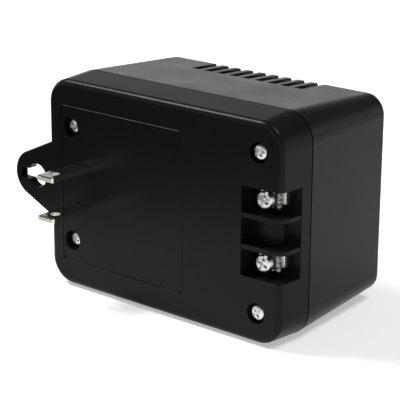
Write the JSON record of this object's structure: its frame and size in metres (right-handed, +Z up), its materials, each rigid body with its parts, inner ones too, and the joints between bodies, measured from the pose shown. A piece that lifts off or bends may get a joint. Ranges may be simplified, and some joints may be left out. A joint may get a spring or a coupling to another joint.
{
  "type": "plug-in transformer",
  "caption": "Boxy moulded plug-in transformer with flat wall blades, a keyhole fixing ear, screw terminals in corner windows and vent slots over the rear edges.",
  "frame": {"origin": "midway between the two blades, on the flat face that meets the wall", "axes": "-Y is the way the blades point, into the wall; +X runs from the plug to the screw terminals; +Z up through both blades"},
  "size_m": [0.1062, 0.0694, 0.0676],
  "materials": {
    "case_plastic": "satin black moulded plastic with a fine moulded grain",
    "zinc_steel": "bright zinc plate",
    "nickel_blade": "nickel plate over brass",
    "inner_plastic": "matt moulded plastic",
    "core_steel": "varnished silicon steel sheet edges",
    "bobbin_plastic": "natural nylon",
    "copper_wire": "enamelled copper",
    "yellow_tape": "polyester tape",
    "grey_card": "pressed insulating card",
    "black_insulation": "wire insulation",
    "white_insulation": "wire insulation",
    "red_insulation": "wire insulation",
    "fuse_metal": "tinned can",
    "fuse_coating": "resin dip"
  },
  "bodies": {
    "root": {"front_cover": "case_plastic", "rear_case": "case_plastic", "cover_screws": "zinc_steel", "blade_upper": "nickel_blade", "blade_lower": "nickel_blade", "blade_retainer": "inner_plastic", "terminal_plate_upper": "nickel_blade", "terminal_plate_lower": "nickel_blade", "clamp_washer_upper": "zinc_steel", "clamp_washer_lower": "zinc_steel", "terminal_screws": "zinc_steel", "core_e_laminations": "core_steel", "core_i_laminations": "core_steel", "bobbin": "bobbin_plastic", "bobbin_pins": "nickel_blade", "primary_winding": "copper_wire", "secondary_winding": "copper_wire", "primary_tape": "yellow_tape", "secondary_tape": "yellow_tape", "insulating_card": "grey_card", "primary_lead_upper": "black_insulation", "primary_lead_lower": "white_insulation", "thermal_fuse": "fuse_metal", "secondary_lead_upper": "red_insulation", "secondary_lead_lower": "red_insulation", "resettable_fuse": "fuse_coating"}
  },
  "joints": []
}
